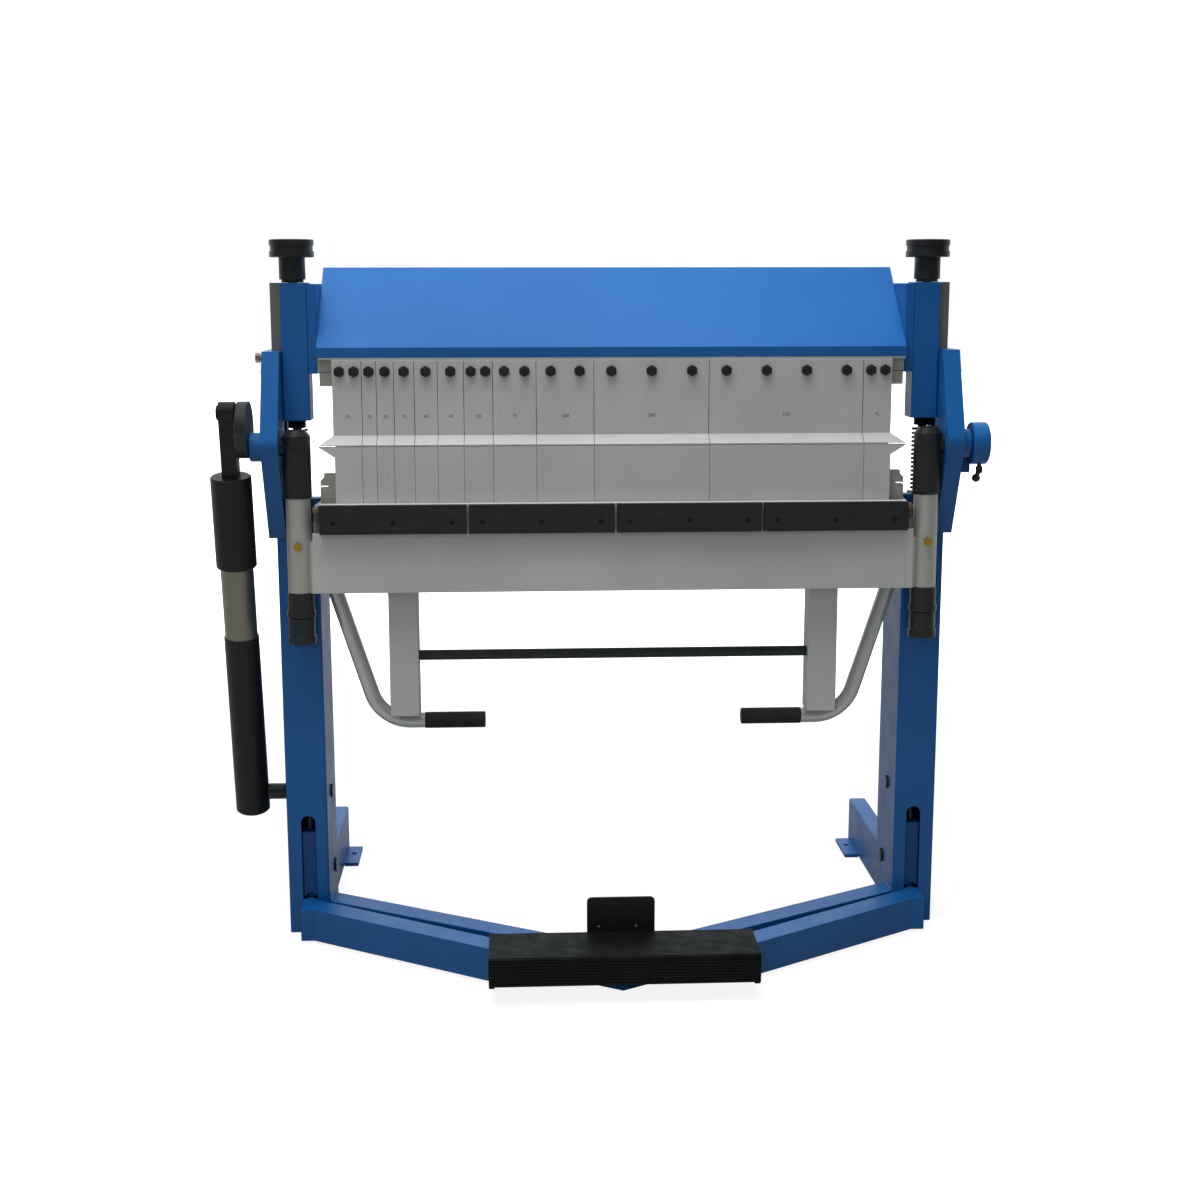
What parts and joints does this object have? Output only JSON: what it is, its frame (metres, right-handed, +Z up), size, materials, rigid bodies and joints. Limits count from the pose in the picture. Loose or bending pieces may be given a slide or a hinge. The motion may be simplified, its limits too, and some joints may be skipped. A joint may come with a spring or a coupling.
{
  "type": "foot-pedal sheet metal folding machine",
  "caption": "Floor-standing box-and-pan folder: foot-pedal clamped upper beam with segmented blades, swinging folding beam with two handles, side strut, angle stop and rear feet.",
  "frame": {"origin": "on the floor, midway between the two anchor holes behind the rear feet; the bend line runs along X at y = -0.460 m, 0.892 m above the floor", "axes": "+X to the operator's right along the bend line, +Y from the operator to the machine's rear, +Z up"},
  "size_m": [1.3455, 0.816, 1.242],
  "materials": {
    "blue_paint": "gloss machine paint",
    "grey_paint": "light grey machine paint",
    "ground_steel": "ground steel",
    "black_steel": "blackened steel",
    "bare_steel": "turned bare steel",
    "spring_steel": "blackened spring wire",
    "zinc": "zinc plate",
    "brass": "brass",
    "silver_paint": "silver paint",
    "black_paint": "black paint",
    "tread_rubber": "black ribbed tread",
    "grip_rubber": "soft black rubber"
  },
  "bodies": {
    "frame": {"left_post": "blue_paint", "right_post": "blue_paint", "rear_feet": "blue_paint", "anchor_tabs": "blue_paint", "tie_bar": "blue_paint", "post_caps": "blue_paint", "left_side_plate": "blue_paint", "right_side_plate": "blue_paint", "plate_screws": "zinc", "pivot_hubs": "blue_paint", "stop_lug": "blue_paint", "bed": "grey_paint", "table_plate": "ground_steel", "lower_rail": "ground_steel", "lower_wedge": "ground_steel", "lower_blades": "ground_steel", "pedal_pivot_pins": "black_steel", "rod_guides": "bare_steel", "guide_bolts": "black_steel", "strut_stub": "black_steel", "hinge_ears": "black_paint", "clamp_springs": "spring_steel"},
    "clamp_beam": {"upper_beam": "blue_paint", "packing_strip": "ground_steel", "upper_bar": "ground_steel", "lower_bar": "ground_steel", "upper_blades": "ground_steel", "blade_bolts": "black_steel", "end_brackets": "blue_paint", "slide_blocks": "blue_paint", "wear_plates": "ground_steel", "pull_rods": "bare_steel", "rod_yokes": "blue_paint", "link_pins": "bare_steel"},
    "left_adjuster": {"left_knob": "black_steel"},
    "right_adjuster": {"right_knob": "black_steel"},
    "pedal": {"pedal_levers": "blue_paint", "pedal_arms": "blue_paint", "tread_plate": "tread_rubber"},
    "release": {"release_plate": "black_paint"},
    "swing_ends": {"pivot_sleeves": "black_steel", "pivot_shafts": "bare_steel", "height_spindles": "bare_steel", "crank_disc": "black_steel"},
    "folding_beam": {"bending_beam": "grey_paint", "beam_legs": "grey_paint", "cross_rod": "black_paint", "handles": "silver_paint", "grips": "grip_rubber", "folding_strips": "black_steel", "strip_screws": "black_steel", "lock_bolts": "brass", "end_bolts": "zinc"},
    "left_nuts": {"left_height_nuts": "black_steel"},
    "right_nuts": {"right_height_nuts": "black_steel"},
    "angle_stop": {"stop_collar": "blue_paint"},
    "stop_clamp": {"stop_screw": "black_steel"},
    "strut_foot": {"strut_tube": "black_steel", "strut_liner": "bare_steel"},
    "strut_head": {"strut_upper": "black_steel"}
  },
  "joints": [
    {"name": "clamp_lift", "type": "slide", "parent": "frame", "child": "clamp_beam", "axis": [0, 0, 1], "range_m": [0, 0.029], "deforming": ["clamp_springs"]},
    {"name": "pedal_swing", "type": "hinge", "parent": "frame", "child": "pedal", "pos_m": [0, -0.322, 0.095], "axis": [-1, 0, 0], "range_deg": [0, 24.17]},
    {"name": "release_push", "type": "hinge", "parent": "frame", "child": "release", "pos_m": [0, -0.638, 0.058], "axis": [-1, 0, 0], "range_deg": [0, 12], "stiffness_Nm_per_rad": 1, "springref_deg": -5.73},
    {"name": "left_adjust", "type": "hinge", "parent": "clamp_beam", "child": "left_adjuster", "pos_m": [-0.553, -0.39, 1.227], "axis": [0, 0, 1], "continuous": true},
    {"name": "right_adjust", "type": "hinge", "parent": "clamp_beam", "child": "right_adjuster", "pos_m": [0.553, -0.39, 1.227], "axis": [0, 0, 1], "continuous": true},
    {"name": "fold", "type": "hinge", "parent": "frame", "child": "swing_ends", "pos_m": [0, -0.46, 0.892], "axis": [-1, 0, 0], "range_deg": [0, 135]},
    {"name": "beam_height", "type": "slide", "parent": "swing_ends", "child": "folding_beam", "axis": [0, 0, 1], "range_m": [0, 0.074]},
    {"name": "left_nuts_turn", "type": "hinge", "parent": "folding_beam", "child": "left_nuts", "pos_m": [-0.547, -0.46, 0.592], "axis": [0, 0, 1], "continuous": true},
    {"name": "right_nuts_turn", "type": "hinge", "parent": "folding_beam", "child": "right_nuts", "pos_m": [0.547, -0.46, 0.592], "axis": [0, 0, 1], "continuous": true},
    {"name": "stop_set", "type": "hinge", "parent": "swing_ends", "child": "angle_stop", "pos_m": [0.635, -0.46, 0.892], "axis": [1, 0, 0], "range_deg": [-135, 135]},
    {"name": "stop_clamp_turn", "type": "hinge", "parent": "angle_stop", "child": "stop_clamp", "pos_m": [0.6395, -0.46, 0.842], "axis": [0, 0, 1], "range_deg": [-90, 90]},
    {"name": "strut_tilt", "type": "hinge", "parent": "frame", "child": "strut_foot", "pos_m": [-0.6605, -0.36, 0.251], "axis": [-1, 0, 0], "range_deg": [0, 5.41]},
    {"name": "strut_stroke", "type": "slide", "parent": "strut_foot", "child": "strut_head", "axis": [0, -0.166, 0.9861], "range_m": [-0.09812, 0]}
  ],
  "couplings": [
    {"joint": "pedal_swing", "follows": "clamp_lift", "rad_per_m": 14.489},
    {"joint": "strut_tilt", "follows": "fold", "ratio": 0.039699},
    {"joint": "strut_stroke", "follows": "fold", "m_per_rad": -0.041558}
  ]
}
